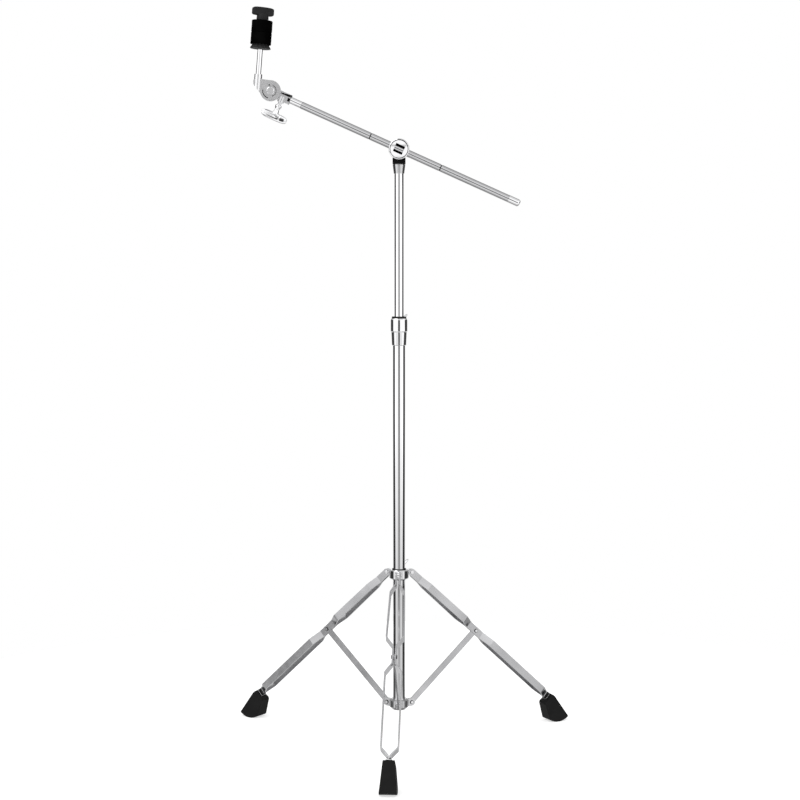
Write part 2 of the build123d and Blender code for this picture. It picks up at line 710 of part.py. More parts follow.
with BuildPart() as boom_drum:
    add(
        lathe(
            DRUM_CENTRE,
            (0, 1, 0),
            [
                (0, DRUM_BACK),
                (DRUM_R - BACK_EDGE, DRUM_BACK),
                (DRUM_R, DRUM_BACK - BACK_EDGE),
                *((DRUM_R - inward, DRUM_FRONT + back) for inward, back in RIM),
                *dish(DISH_STEPS),
            ],
        )
    )
    with BuildSketch(boom_plane(0)):
        Circle(BOOM_R + RUN)
    extrude(amount=2 * DRUM_R, both=True, mode=Mode.SUBTRACT)
    with BuildSketch(facing_plane(0, BOOM_Y)):
        Rectangle(*WINDOW)
    extrude(amount=BOOM_Y - DRUM_FRONT, mode=Mode.SUBTRACT)
    with BuildSketch(facing_plane(0, HEAD_BACK)):
        Circle(HEAD_R)
    extrude(amount=HEAD_BACK - BOOM_Y, mode=Mode.SUBTRACT)
    with BuildSketch(facing_plane(0, DRUM_BACK)):
        Circle(BOLT_R)
    extrude(amount=DRUM_BACK - BOOM_Y, mode=Mode.SUBTRACT)
save(boom_drum.part, "boom_drum")

BOLT_END = 21.0
BOLT_POINT = 1.0
WASHER_BORE_R = BOLT_R + 0.4
tilter_bolt = lathe(
    DRUM_CENTRE,
    (0, 1, 0),
    [
        (0, HEAD_FRONT),
        (HEAD_R, HEAD_FRONT),
        (HEAD_R, HEAD_BACK),
        (BOLT_R, HEAD_BACK),
        (BOLT_R, BOLT_END - BOLT_POINT),
        (BOLT_R - BOLT_POINT, BOLT_END),
        (0, BOLT_END),
    ],
)
save(tilter_bolt, "tilter_bolt")

tilter_washer = lathe(
    DRUM_CENTRE,
    (0, 1, 0),
    [
        (WASHER_BORE_R, WASHER_FRONT),
        (EAR_R, WASHER_FRONT),
        (EAR_R, WASHER_BACK),
        (WASHER_BORE_R, WASHER_BACK),
    ],
)
save(tilter_washer, "tilter_washer")

tilter_axis = radial_plane(BACK, BOOM_Z)
TILTER_HUB = (EAR_BACK + GAP, 8.0)
TILTER_WINGS = (12.0, 56.0, 11.0)
TILTER_WING_THICK = 6.5
NUT_DEPTH = 30.0
tilter_handle = wing(tilter_axis, TILTER_HUB, TILTER_WINGS, TILTER_WING_THICK, -BOOM_SLOPE)
save(wing_nut(tilter_axis, tilter_handle, EAR_BACK, NUT_DEPTH), "tilter_wing_nut")

# ---- boom ---------------------------------------------------------------------------------
GROOVE_W = 1.8
GROOVE_DEPTH = 1.0
PLUG_R = BOOM_R - TUBE_WALL
CAP_R = 7.8
CAP_ROUND = 5.0
CAP_PLUG = 14.0
FERRULE_PLUG = 16.0
FERRULE_EDGE = 0.5

with BuildPart() as boom_tube:
    with BuildSketch(boom_plane(BOOM_TAIL_END)):
        Circle(BOOM_R)
        Circle(PLUG_R, mode=Mode.SUBTRACT)
    extrude(amount=BOOM_HEAD_END - BOOM_TAIL_END)
    for groove in GROOVES:
        with BuildSketch(boom_plane(groove - GROOVE_W / 2)):
            Circle(2 * BOOM_R)
            Circle(BOOM_R - GROOVE_DEPTH, mode=Mode.SUBTRACT)
        extrude(amount=GROOVE_W, mode=Mode.SUBTRACT)
save(boom_tube.part, "boom_tube")

with BuildPart() as boom_end_cap:
    add(
        lathe(
            BOOM_PIVOT,
            BOOM_DIR,
            [
                (0, CAP_END),
                (CAP_R, CAP_END),
                (CAP_R, BOOM_TAIL_END),
                (PLUG_R, BOOM_TAIL_END),
                (PLUG_R, BOOM_TAIL_END + CAP_PLUG),
                (0, BOOM_TAIL_END + CAP_PLUG),
            ],
        )
    )
    rim = boom_end_cap.edges().filter_by(GeomType.CIRCLE)
    fillet(rim.sort_by(Axis(tuple(BOOM_PIVOT), tuple(BOOM_DIR)))[0], CAP_ROUND)
save(boom_end_cap.part, "boom_end_cap")

boom_ferrule = lathe(
    BOOM_PIVOT,
    BOOM_DIR,
    [
        (0, BOOM_HEAD_END - FERRULE_PLUG),
        (PLUG_R, BOOM_HEAD_END - FERRULE_PLUG),
        (PLUG_R, BOOM_HEAD_END),
        (FERRULE_R - FERRULE_EDGE, BOOM_HEAD_END),
        (FERRULE_R, BOOM_HEAD_END + FERRULE_EDGE),
        (FERRULE_R, FERRULE_END),
        (0, FERRULE_END),
    ],
)
save(boom_ferrule, "boom_ferrule")

# ---- cymbal tilter ---------------------------------------------------------------------------
HOUSING_FRONT = ARM_BACK + GAP
HOUSING_EDGE = 2.0
HOUSING_NECK_BACK = HOUSING_BACK - 2.5
NECK_HIGH = 20.0
CLAMP_ALONG = TILT_AXIS - CLAMP_BOLT_BACK
TILT_CENTRE = boom_point(TILT_AXIS, 0)
UNILOCK_BOSS_R = 7.0
UNILOCK_BOSS_END = 13.0
CLAMP_SLOT = (20.0, 2.2)
CLAMP_SLOT_AT = (TILT_AXIS - 31.5, 5.2)     # along the boom and up from its axis
CLAMP_SLOT_DEPTH = 8.0
POCKET = (6.0, 7.0)
POCKET_AT = (TILT_AXIS - 41.5, -1.4)
POCKET_DEPTH = 3.5

unilock_axis = Plane(origin=boom_point(CLAMP_ALONG), x_dir=BOOM_DIR, z_dir=-BOOM_UP)

with BuildPart() as tilt_housing:
    add(
        lathe(
            TILT_CENTRE,
            (0, 1, 0),
            [
                (0, HOUSING_FRONT),
                (HOUSING_R, HOUSING_FRONT),
                (HOUSING_R, HOUSING_BACK - HOUSING_EDGE),
                (HOUSING_R - HOUSING_EDGE, HOUSING_BACK),
                (0, HOUSING_BACK),
            ],
        )
    )
    with BuildSketch(facing_plane((FERRULE_END + TILT_AXIS) / 2, HOUSING_NECK_BACK)):
        Rectangle(TILT_AXIS - FERRULE_END, NECK_HIGH)
    extrude(amount=HOUSING_NECK_BACK - HOUSING_FRONT)
    with BuildSketch(unilock_axis):
        Circle(UNILOCK_BOSS_R)
    extrude(amount=UNILOCK_BOSS_END)
    for (along, up), size, depth in (
        (CLAMP_SLOT_AT, CLAMP_SLOT, CLAMP_SLOT_DEPTH),
        (POCKET_AT, POCKET, POCKET_DEPTH),
    ):
        with BuildSketch(facing_plane(along, HOUSING_FRONT)):
            with Locations((0, up)):
                Rectangle(*size)
        extrude(amount=-depth, mode=Mode.SUBTRACT)
    with BuildSketch(unilock_axis):
        Circle(BOLT_R)
    extrude(amount=2 * UNILOCK_BOSS_END, mode=Mode.SUBTRACT)
    with BuildSketch(facing_plane(TILT_AXIS, 0)):
        Circle(BOLT_R + RUN)
    extrude(amount=2 * HOUSING_R, mode=Mode.SUBTRACT)
save(tilt_housing.part, "tilt_housing")

ARM_SOCKET_R = 8.0
ROD_START = 12.0
ARM_PLATE = [(-16, 23.4), (-24.5, 27), (-35, 22), (-35, 13.8), (-20.8, -5.4), (0, -5), (0, 21.3)]
ARM_SOCKET_SIDE = [(-35.5, 13.8), (-20.8, -5.4), (0, 0), (0, 60), (-45, 60)]     # room for the rod's socket
ARM_ARCS = [((14.9, 16.5), (172, 80)), ((11.3, 12.5), (-75, 140))]     # radii, first angle and turn in degrees
ARM_ARC_DEPTH = 1.5
ARM_DIMPLE = (-2.2, 11.6)
ARM_DIMPLE_R = 1.5

with BuildPart() as rod_socket:
    with BuildSketch(rod_plane(0)):
        Circle(ARM_SOCKET_R)
    extrude(amount=SOCKET_LENGTH)
    with BuildSketch(Plane(origin=TILT_CENTRE, x_dir=(1, 0, 0), z_dir=(0, -1, 0))):
        with BuildLine():
            Polyline(*ARM_SOCKET_SIDE, close=True)
        make_face()
    extrude(amount=-2 * ARM_FRONT, mode=Mode.INTERSECT)

arm_face = Plane(origin=(TILT_CENTRE.X, ARM_FRONT, TILT_CENTRE.Z), x_dir=(1, 0, 0), z_dir=(0, -1, 0))
with BuildPart() as tilt_arm:
    with BuildSketch(arm_face):
        Circle(ARM_DISC_R)
        with BuildLine():
            Polyline(*ARM_PLATE, close=True)
        make_face()
    extrude(amount=ARM_FRONT - ARM_BACK)
    with BuildSketch(arm_face):
        for (inner, outer), span in ARM_ARCS:
            with BuildLine():
                inside = CenterArc((0, 0), inner, *span)
                outside = CenterArc((0, 0), outer, *span)
                Line(inside @ 0, outside @ 0)
                Line(inside @ 1, outside @ 1)
            make_face()
        with Locations(ARM_DIMPLE):
            Circle(ARM_DIMPLE_R)
    extrude(amount=-ARM_ARC_DEPTH, mode=Mode.SUBTRACT)
    add(rod_socket.part)
    with BuildSketch(rod_plane(ROD_START)):
        Circle(SHANK_R)
    extrude(amount=SOCKET_LENGTH, mode=Mode.SUBTRACT)
    with BuildSketch(facing_plane(TILT_AXIS, 0)):
        Circle(BOLT_R)
    extrude(amount=-2 * ARM_FRONT, mode=Mode.SUBTRACT)
save(tilt_arm.part, "tilt_arm")

PIVOT_NUT_R = 7.0
PIVOT_NUT_THICK = 6.0
PIVOT_END = -7.0
PIVOT_HEAD = [(0, 1.8), (6.8, 1.8), (8.2, 0.6), (8.2, 0)]     # radius, and height over the arm
tilt_pivot_bolt = lathe(
    TILT_CENTRE,
    (0, 1, 0),
    [
        *((radius, ARM_FRONT - height) for radius, height in PIVOT_HEAD),
        (BOLT_R, ARM_FRONT),
        (BOLT_R, PIVOT_END),
        (0, PIVOT_END),
    ],
)
save(tilt_pivot_bolt, "tilt_pivot_bolt")

with BuildPart() as tilt_pivot_nut:
    with BuildSketch(facing_plane(TILT_AXIS, HOUSING_BACK + GAP)):
        RegularPolygon(PIVOT_NUT_R, 6)
        Circle(BOLT_R, mode=Mode.SUBTRACT)
    extrude(amount=-PIVOT_NUT_THICK)
save(tilt_pivot_nut.part, "tilt_pivot_nut")

UNILOCK_TIP = 1.0
UNILOCK_HUB = (34.0, 6.8)
UNILOCK_WINGS = (36.0, 57.0, 16.5)
UNILOCK_WING_THICK = 9.0
UNILOCK_COLLAR = UNILOCK_BOSS_END + 0.4
UNILOCK_COLLAR_THICK = 3.6
UNILOCK_WAIST = (4.6, UNILOCK_BOSS_END + 11)
with BuildPart() as unilock_wing_bolt:
    add(wing(unilock_axis, UNILOCK_HUB, UNILOCK_WINGS, UNILOCK_WING_THICK, 0))
    add(
        lathe(
            boom_point(CLAMP_ALONG),
            -BOOM_UP,
            [
                (0, UNILOCK_TIP),
                (BOLT_R - RUN, UNILOCK_TIP),
                (BOLT_R - RUN, UNILOCK_COLLAR),
                (UNILOCK_BOSS_R, UNILOCK_COLLAR),
                (UNILOCK_BOSS_R, UNILOCK_COLLAR + UNILOCK_COLLAR_THICK),
                UNILOCK_WAIST,
                (UNILOCK_HUB[1], UNILOCK_HUB[0]),
                (0, UNILOCK_HUB[0]),
            ],
        )
    )
save(unilock_wing_bolt.part, "unilock_wing_bolt")

# ---- cymbal rod and what is on it ----------------------------------------------------------------
cymbal_rod = lathe(
    ROD_BASE,
    ROD_DIR,
    [
        (0, ROD_START),
        (SHANK_R, ROD_START),
        (SHANK_R, SHOULDER),
        (THREAD_R, SHOULDER),
        (THREAD_R, THREAD_END - BOLT_POINT),
        (THREAD_R - BOLT_POINT, THREAD_END),
        (0, THREAD_END),
    ],
)
save(cymbal_rod, "cymbal_rod")

SEAT_TOP_R = 17.5
SEAT_EDGE = 1.0
cymbal_seat = lathe(
    ROD_BASE,
    ROD_DIR,
    [
        (SHANK_R, SEAT_BOTTOM),
        (FELT_R - SEAT_EDGE, SEAT_BOTTOM),
        (FELT_R, SEAT_BOTTOM + SEAT_EDGE),
        (SEAT_TOP_R, SEAT_TOP - SEAT_EDGE),
        (SEAT_TOP_R, SEAT_TOP),
        (THREAD_R, SEAT_TOP),
        (THREAD_R, SHOULDER),
        (SHANK_R, SHOULDER),
    ],
)
save(cymbal_seat, "cymbal_seat")

save(tube(rod_plane(SEAT_TOP), SLEEVE_END - SEAT_TOP, SLEEVE_R, THREAD_R), "cymbal_sleeve")
save(tube(rod_plane(SEAT_TOP), FELT_HEIGHT, FELT_R, SLEEVE_R), "lower_felt")
UPPER_FELT_START = SEAT_TOP + FELT_HEIGHT + GAP
save(tube(rod_plane(UPPER_FELT_START), FELT_HEIGHT, FELT_R, SLEEVE_R + GAP), "upper_felt")

NUT_START = UPPER_FELT_START + FELT_HEIGHT + RUN
NUT_HUB = (NUT_START, 9.0)
NUT_WINGS = (NUT_WING, 45.0, NUT_TOP - NUT_WING)
NUT_WING_THICK = 14.0
NUT_TURN = 90.0                # degrees
NUT_NECK_R = 12.4
NUT_NECK_END = NUT_WING + 2.0
nut_plane = rod_plane(0)
with BuildPart() as nut_handle:
    add(wing(nut_plane, NUT_HUB, NUT_WINGS, NUT_WING_THICK, NUT_TURN))
    with BuildSketch(nut_plane.offset(NUT_START)):
        Circle(NUT_NECK_R)
    extrude(amount=NUT_NECK_END - NUT_START)
save(wing_nut(nut_plane, nut_handle.part, NUT_START, THREAD_END + GAP - NUT_START), "cymbal_wing_nut")
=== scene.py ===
"""Looks of the cymbal boom stand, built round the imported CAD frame. Units are metres."""
import json
import math

import bmesh
import bpy
from mathutils import Matrix, Vector
from mathutils import noise as field


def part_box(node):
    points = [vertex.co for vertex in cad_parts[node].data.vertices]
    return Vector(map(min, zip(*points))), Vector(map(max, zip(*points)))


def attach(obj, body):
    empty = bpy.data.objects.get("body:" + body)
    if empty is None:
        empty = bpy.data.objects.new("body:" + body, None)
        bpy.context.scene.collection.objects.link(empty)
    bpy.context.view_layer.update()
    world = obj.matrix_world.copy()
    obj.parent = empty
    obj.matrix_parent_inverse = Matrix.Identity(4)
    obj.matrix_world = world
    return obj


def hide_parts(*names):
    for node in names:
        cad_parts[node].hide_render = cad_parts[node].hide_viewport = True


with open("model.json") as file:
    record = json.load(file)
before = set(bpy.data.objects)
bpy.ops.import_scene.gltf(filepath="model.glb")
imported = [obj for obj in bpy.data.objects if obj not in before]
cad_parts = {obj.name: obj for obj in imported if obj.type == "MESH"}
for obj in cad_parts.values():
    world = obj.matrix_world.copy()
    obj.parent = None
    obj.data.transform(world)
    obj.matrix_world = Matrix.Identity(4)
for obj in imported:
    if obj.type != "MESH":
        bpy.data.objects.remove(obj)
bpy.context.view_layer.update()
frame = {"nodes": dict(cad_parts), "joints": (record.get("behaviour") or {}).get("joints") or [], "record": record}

MM = 0.001

# The studio is lit from all round. A direction's turn is its angle from -Y in degrees, and its height is
# the sine of its angle above the level.
STUDIO_POWER = 2.0
STUDIO = [                     # turn, brightness of the walls
    (0, 0.02), (11, 0.04), (17, 0.60), (58, 0.60), (66, 0.85), (78, 0.8), (87, 0.12), (94, 0.03),
    (158, 0.03), (164, 0.5), (180, 0.5),
]
SKY = [                        # height up or down, brightness overhead and underfoot
    (0.0, 0.6), (0.55, 0.6), (0.75, 0.38), (1.0, 0.38),
]
SKY_FROM, SKY_FULL = 0.22, 0.32    # heights between which the walls give way to the sky
BACK_FROM, BACK_FULL = 95, 112     # turns between which the sky fades towards the back
BACK_SKY = 0.4                     # what is left of the sky there
LOW, LEVEL = -0.18, -0.08          # heights between which the walls narrow and dim
LOW_TURN, LOW_POWER = 1.35, 0.55
INNER = 25                         # turn within which the narrowing leaves them alone
HIGH, HIGHER = 0.076, 0.088        # heights between which the dark spot in the front wall ends
SPOT = 14.5                        # turn of that spot's edge
HALF_TURN = 180                    # degrees, the greatest turn

CAMERA_PLACE = (0.002, -3.729, 0.9975)
CAMERA_DROP = 4.13                 # degrees below the level
LENS, SENSOR = 80.0, 36.0          # mm

KEY_PLACE, KEY_TARGET = (-1.6, -1.0, 3.4), (0, 0, 0.8)
KEY_SIZE, KEY_POWER = 2.2, 25      # m and W

FLOOR_R = 1.3
FLOOR_SIDES = 96
FLOOR_GREY = 0.80
FLOOR_GLOW = 0.55                  # lifts the floor to white where it is seen


# ---- camera, lights and floor ------------------------------------------------
def make_camera():
    """A long lens at chest height, looking slightly down at the middle of the mast."""
    data = bpy.data.cameras.new("camera")
    data.lens = LENS
    data.sensor_width = SENSOR
    camera = bpy.data.objects.new("camera", data)
    bpy.context.scene.collection.objects.link(camera)
    camera.location = CAMERA_PLACE
    camera.rotation_euler = (math.radians(90 - CAMERA_DROP), 0, 0)
    bpy.context.scene.camera = camera


def make_world():
    """A studio round the Y axis: a dark spot in front, bright walls, a dark ring and a lit back."""
    world = bpy.data.worlds.new("studio")
    bpy.context.scene.world = world
    world.use_nodes = True
    nodes, links = world.node_tree.nodes, world.node_tree.links
    nodes.clear()
    out = nodes.new("ShaderNodeOutputWorld")
    coord = nodes.new("ShaderNodeTexCoord")
    split = nodes.new("ShaderNodeSeparateXYZ")
    links.new(coord.outputs["Generated"], split.inputs[0])

    def math_node(operation, first, second=None):
        node = nodes.new("ShaderNodeMath")
        node.operation = operation
        for socket, value in zip(node.inputs, (first, second)):
            if isinstance(value, bpy.types.NodeSocket):
                links.new(value, socket)
            elif value is not None:
                socket.default_value = value
        return node.outputs[0]

    def between(value, start, stop, low, high):
        node = nodes.new("ShaderNodeMapRange")
        for socket, number in zip(node.inputs[1:5], (start, stop, low, high)):
            socket.default_value = number
        links.new(value, node.inputs[0])
        return node.outputs[0]

    def ramp_of(value, stops, top):
        ramp = nodes.new("ShaderNodeValToRGB")
        for _ in stops[1:-1]:
            ramp.color_ramp.elements.new(0.5)
        for element, (place, grey) in zip(ramp.color_ramp.elements, stops):
            element.position = place / top
            element.color = (grey, grey, grey, 1)
        links.new(value, ramp.inputs[0])
        return ramp.outputs[0]

    height = split.outputs["Z"]
    angle = math_node("ARCCOSINE", math_node("MULTIPLY", split.outputs["Y"], -1))
    turn = math_node("DIVIDE", angle, math.pi)
    past = math_node("MAXIMUM", math_node("SUBTRACT", turn, INNER / HALF_TURN), 0)
    narrowing = math_node("MULTIPLY", past, between(height, LOW, LEVEL, LOW_TURN - 1, 0))
    turn = math_node("ADD", turn, narrowing)
    turn = math_node("MAXIMUM", turn, between(height, HIGH, HIGHER, 0, SPOT / HALF_TURN))
    steep = math_node("ABSOLUTE", height)
    dimming = between(height, LOW, LEVEL, LOW_POWER, 1)
    walls = math_node("MULTIPLY", ramp_of(turn, STUDIO, HALF_TURN), dimming)
    mixed = nodes.new("ShaderNodeMixRGB")
    fade = between(turn, BACK_FROM / HALF_TURN, BACK_FULL / HALF_TURN, 1, BACK_SKY)
    links.new(math_node("MULTIPLY", between(steep, SKY_FROM, SKY_FULL, 0, 1), fade), mixed.inputs[0])
    links.new(walls, mixed.inputs[1])
    links.new(ramp_of(steep, SKY, 1), mixed.inputs[2])
    shaped = nodes.new("ShaderNodeBackground")
    links.new(mixed.outputs[0], shaped.inputs[0])
    shaped.inputs[1].default_value = STUDIO_POWER
    plain = nodes.new("ShaderNodeBackground")
    plain.inputs[0].default_value = (1, 1, 1, 1)
    plain.inputs[1].default_value = 1.0
    path = nodes.new("ShaderNodeLightPath")
    mix = nodes.new("ShaderNodeMixShader")
    links.new(path.outputs["Is Camera Ray"], mix.inputs[0])
    links.new(shaped.outputs[0], mix.inputs[1])
    links.new(plain.outputs[0], mix.inputs[2])
    links.new(mix.outputs[0], out.inputs[0])


def make_key():
    """Soft square light from above the camera's left, aimed at the mast."""
    data = bpy.data.lights.new("key", "AREA")
    data.shape = "SQUARE"
    data.size = KEY_SIZE
    data.energy = KEY_POWER
    lamp = bpy.data.objects.new("key", data)
    bpy.context.scene.collection.objects.link(lamp)
    lamp.location = KEY_PLACE
    aim = Vector(KEY_TARGET) - Vector(KEY_PLACE)
    lamp.rotation_euler = aim.to_track_quat("-Z", "Y").to_euler()


def make_floor():
    """Pale round floor under the legs; past its rim the background is as white as it is."""
    mesh = bpy.data.meshes.new("floor")
    angles = [2 * math.pi * i / FLOOR_SIDES for i in range(FLOOR_SIDES)]
    rim = [(FLOOR_R * math.cos(angle), FLOOR_R * math.sin(angle), 0) for angle in angles]
    mesh.from_pydata(rim, [], [range(FLOOR_SIDES)])
    floor = bpy.data.objects.new("floor", mesh)
    bpy.context.scene.collection.objects.link(floor)
    material = bpy.data.materials.new("floor")
    material.use_nodes = True
    shader = material.node_tree.nodes["Principled BSDF"]
    shader.inputs["Base Color"].default_value = (FLOOR_GREY, FLOOR_GREY, FLOOR_GREY, 1)
    shader.inputs["Roughness"].default_value = 0.9
    shader.inputs["Emission Color"].default_value = (1, 1, 1, 1)
    path = material.node_tree.nodes.new("ShaderNodeLightPath")
    glow = material.node_tree.nodes.new("ShaderNodeMapRange")
    glow.inputs["To Min"].default_value = 0.0
    glow.inputs["To Max"].default_value = FLOOR_GLOW
    material.node_tree.links.new(path.outputs["Is Camera Ray"], glow.inputs["Value"])
    material.node_tree.links.new(glow.outputs["Result"], shader.inputs["Emission Strength"])
    mesh.materials.append(material)
    floor.visible_glossy = False


# ---- materials ------------------------------------------------------------------
MATERIALS = {}


def new_material(name):
    """Material kept under its name, with its node tree and its shader."""
    material = bpy.data.materials.new(name)
    material.use_nodes = True
    MATERIALS[name] = material
    return material.node_tree, material.node_tree.nodes["Principled BSDF"]


def noise(tree, scale, detail, stretch=(1, 1, 1), rotation=(0, 0, 0)):
    """Noise in object coordinates, stretched along an axis for brushed or rolled metal."""
    coord = tree.nodes.new("ShaderNodeTexCoord")
    mapping = tree.nodes.new("ShaderNodeMapping")
    mapping.inputs["Scale"].default_value = stretch
    mapping.inputs["Rotation"].default_value = rotation
    texture = tree.nodes.new("ShaderNodeTexNoise")
    texture.inputs["Scale"].default_value = scale
    texture.inputs["Detail"].default_value = detail
    tree.links.new(coord.outputs["Object"], mapping.inputs["Vector"])
    tree.links.new(mapping.outputs["Vector"], texture.inputs["Vector"])
    return texture.outputs["Fac"]


def ranged(tree, value, low, high):
    """Value from 0 to 1 brought to low to high."""
    node = tree.nodes.new("ShaderNodeMapRange")
    node.inputs["To Min"].default_value = low
    node.inputs["To Max"].default_value = high
    tree.links.new(value, node.inputs["Value"])
    return node.outputs["Result"]


def tinted(tree, value, dark, light):
    """Colour between two greys or tints, led by a value."""
    ramp = tree.nodes.new("ShaderNodeValToRGB")
    ramp.color_ramp.elements[0].position = 0.3
    ramp.color_ramp.elements[1].position = 0.7
    ramp.color_ramp.elements[0].color = (*dark, 1)
    ramp.color_ramp.elements[1].color = (*light, 1)
    tree.links.new(value, ramp.inputs[0])
    return ramp.outputs[0]


def bumped(tree, shader, value, strength, distance):
    """Bump from a value, in metres of height."""
    bump = tree.nodes.new("ShaderNodeBump")
    bump.inputs["Strength"].default_value = strength
    bump.inputs["Distance"].default_value = distance
    tree.links.new(value, bump.inputs["Height"])
    tree.links.new(bump.outputs["Normal"], shader.inputs["Normal"])


METAL_BUMP, BLACK_BUMP = 0.25, 0.6
EVEN = (1, 1, 1)               # stretch of noise that runs the same every way
ALONG_BOOM = (0, math.radians(24.15), 0)    # turns noise so that its x runs along the boom


def metal(name, dark, light, rough_low, rough_high, scale, stretch, rotation=(0, 0, 0), height=0.00001):
    """Plated metal: fine streaks or ripples in its roughness, colour and surface."""
    tree, shader = new_material(name)
    shader.inputs["Metallic"].default_value = 1.0
    streaks = noise(tree, scale, 6, stretch, rotation)
    cloud = noise(tree, 9, 3)
    tree.links.new(tinted(tree, cloud, dark, light), shader.inputs["Base Color"])
    tree.links.new(ranged(tree, streaks, rough_low, rough_high), shader.inputs["Roughness"])
    bumped(tree, shader, streaks, METAL_BUMP, height)


def soft_black(name, dark, light, rough_low, rough_high, scale, height, shine=0.2):
    """Black moulded plastic, nylon or rubber with a fine grain."""
    tree, shader = new_material(name)
    shader.inputs["Specular IOR Level"].default_value = shine
    grain = noise(tree, scale, 8)
    cloud = noise(tree, 40, 4)
    tree.links.new(tinted(tree, cloud, dark, light), shader.inputs["Base Color"])
    tree.links.new(ranged(tree, grain, rough_low, rough_high), shader.inputs["Roughness"])
    bumped(tree, shader, grain, BLACK_BUMP, height)


def make_metals():
    metal("chrome_tube", (0.80, 0.80, 0.81), (0.86, 0.86, 0.87), 0.03, 0.08, 60, (8, 8, 0.25), height=4e-6)
    metal("satin_tube", (0.53, 0.53, 0.54), (0.60, 0.60, 0.61), 0.13, 0.19, 300, (0.2, 6, 6), ALONG_BOOM)
    metal("polished_steel", (0.82, 0.82, 0.83), (0.88, 0.88, 0.89), 0.03, 0.09, 90, EVEN)
    metal("bracket_steel", (0.46, 0.46, 0.47), (0.70, 0.70, 0.71), 0.10, 0.20, 140, EVEN)
    metal("rivets", (0.72, 0.72, 0.73), (0.84, 0.84, 0.85), 0.04, 0.12, 200, EVEN)
    metal("chrome_casting", (0.80, 0.80, 0.81), (0.88, 0.88, 0.89), 0.03, 0.12, 120, EVEN, height=0.00002)
    metal("satin_casting", (0.70, 0.70, 0.71), (0.84, 0.84, 0.85), 0.18, 0.30, 150, EVEN)
    # painted shade: a near-black metal for the faces of grooves, slots, the drum's window, rivet rims and the
    # tilter's neck, standing in for shade and dark reflections there
    metal("painted_shade", (0.006, 0.006, 0.006), (0.02, 0.02, 0.02), 0.35, 0.55, 300, EVEN)
    metal("plated_strip", (0.42, 0.42, 0.43), (0.60, 0.60, 0.61), 0.12, 0.24, 90, EVEN, height=0.00002)


def make_blacks():
    soft_black("black_nylon", (0.006, 0.006, 0.006), (0.012, 0.012, 0.012), 0.4, 0.6, 900, 0.00003)
    soft_black("black_plastic", (0.010, 0.010, 0.010), (0.018, 0.018, 0.019), 0.45, 0.7, 1100, 0.00006)
    soft_black("black_rubber", (0.002, 0.002, 0.002), (0.006, 0.006, 0.006), 0.5, 0.75, 700, 0.00005)
    soft_black("black_felt", (0.0008, 0.0008, 0.0008), (0.003, 0.003, 0.003), 0.9, 1.0, 1600, 0.0004, shine=0)


def dress_nodes():
    """Give every CAD node the finish that its slot in the record names."""
    for name, node in frame["nodes"].items():
        node.data.materials.clear()
        node.data.materials.append(MATERIALS[SLOTS[name]])


# ---- mesh helpers ---------------------------------------------------------------
SLOTS = {part["node"]: part["material_slot"] for part in frame["record"]["subparts"]}
BODIES = {node: body for body, nodes in frame["record"]["behaviour"]["bodies"].items() for node in nodes}
JOINTS = {joint["name"]: joint for joint in frame["joints"]}
WELD = 0.01 * MM
FLAT = math.radians(0.5)       # faces that turn less than this are one flat face
CORNER = math.radians(30)      # edges that turn more than this are rounded over
CREASE = math.radians(40)      # edges that turn more than this stay sharp in the shading


def direction(joint):
    return Vector(JOINTS[joint]["axis"]).normalized()


def placed(origin, up, side):
    """Matrix whose z runs along up, and x towards side."""
    z = Vector(up).normalized()
    x = (Vector(side) - z * z.dot(Vector(side))).normalized()
    turn = Matrix((x, z.cross(x), z)).transposed()
    return Matrix.Translation(Vector(origin)) @ turn.to_4x4()


def extent(node, origin, axis):
    """Lowest and highest place of a CAD node along a line, and its greatest distance from it."""
    axis = Vector(axis).normalized()
    offsets = [vertex.co - Vector(origin) for vertex in frame["nodes"][node].data.vertices]
    along = [offset.dot(axis) for offset in offsets]
    reach = max((offset - axis * place).length for offset, place in zip(offsets, along))
    return min(along), max(along), reach


def rounded(corners, steps=4):
    """Closed outline from corners (x, y, radius)."""
    outline = []
    for before, corner, after in zip(corners[-1:] + corners[:-1], corners, corners[1:] + corners[:1]):
        here, radius = Vector(corner[:2]), corner[2]
        if radius == 0:
            outline.append(here)
            continue
        start = here + (Vector(before[:2]) - here).normalized() * radius
        stop = here + (Vector(after[:2]) - here).normalized() * radius
        for step in range(steps + 1):
            t = step / steps
            outline.append(start * (1 - t) ** 2 + here * 2 * t * (1 - t) + stop * t * t)
    return outline


def divided(outline, spacing):
    """Closed outline with extra points, so that no side is longer than the spacing."""
    points = []
    for here, after in zip(outline, outline[1:] + outline[:1]):
        count = max(1, math.ceil((after - here).length / spacing))
        points += [here.lerp(after, i / count) for i in range(count)]
    return points


def revolved(outline, sides, shift=None):
    """Closed outline of (radius, height) points turned about z; shift moves a point in or out."""
    made = bmesh.new()
    rings = []
    for side in range(sides):
        angle = 2 * math.pi * side / sides
        ring = []
        for radius, height in outline:
            radius += shift(angle, radius, height) if shift else 0
            ring.append(made.verts.new((radius * math.cos(angle), radius * math.sin(angle), height)))
        rings.append(ring)
    for ring, following in zip(rings, rings[1:] + rings[:1]):
        for i in range(len(outline)):
            j = (i + 1) % len(outline)
            made.faces.new((ring[i], following[i], following[j], ring[j]))
    bmesh.ops.remove_doubles(made, verts=made.verts, dist=WELD)
    bmesh.ops.dissolve_degenerate(made, dist=WELD, edges=made.edges)
    return made


def blob(size, square, rings=32):
    """Closed superellipsoid of a size; square goes from 1, an ellipsoid, towards 0, a box."""
    made = bmesh.new()
    bmesh.ops.create_uvsphere(made, u_segments=2 * rings, v_segments=rings, radius=1)
    for vertex in made.verts:
        for i in range(3):
            part = vertex.co[i]
            vertex.co[i] = math.copysign(abs(part) ** square, part) * size[i] / 2
    return made


